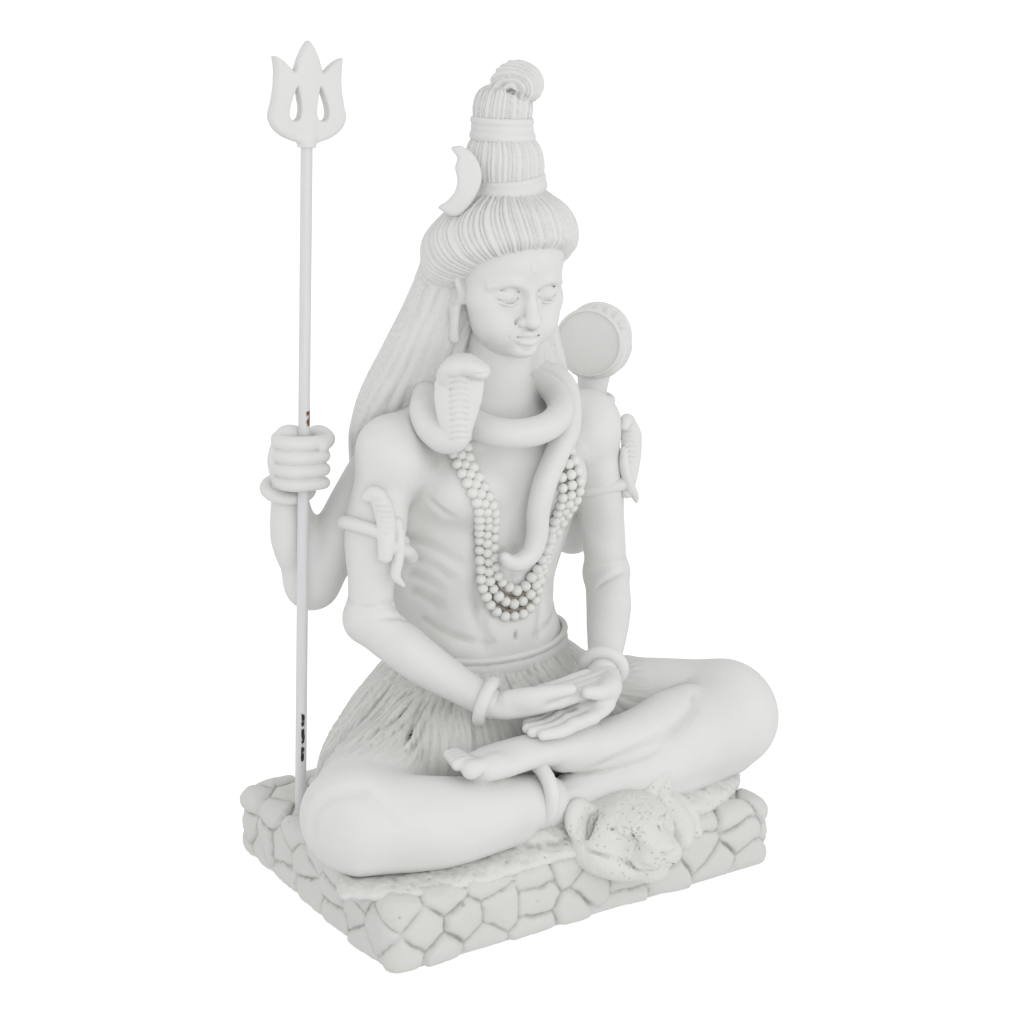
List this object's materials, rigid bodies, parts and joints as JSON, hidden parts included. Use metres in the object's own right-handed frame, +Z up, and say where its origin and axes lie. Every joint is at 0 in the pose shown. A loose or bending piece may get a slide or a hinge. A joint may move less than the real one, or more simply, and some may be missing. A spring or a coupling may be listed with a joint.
{
  "type": "four-armed seated deity statue",
  "caption": "Seated four-armed meditating Shiva statue on a rectangular cobbled rock base, with trident on a rod, drum, serpents and beads.",
  "frame": {"origin": "on the flat underside, below the middle plane of the seated figure, at the middle of the base's depth", "axes": "+Z up, the figure faces -Y, its own left hand side is +X"},
  "size_m": [0.2426, 0.172, 0.372],
  "materials": {
    "painted_resin": "matte off-white paint on cast polyresin, with dark specks left in the crevices",
    "painted_steel": "thin white paint on a steel rod, with a greyer stretch near its foot",
    "painted_resin_trident": "matte off-white paint on a small flat casting"
  },
  "bodies": {
    "root": {"shiva_figure": "painted_resin", "trident_rod": "painted_steel", "trident_head": "painted_resin_trident"}
  },
  "joints": []
}
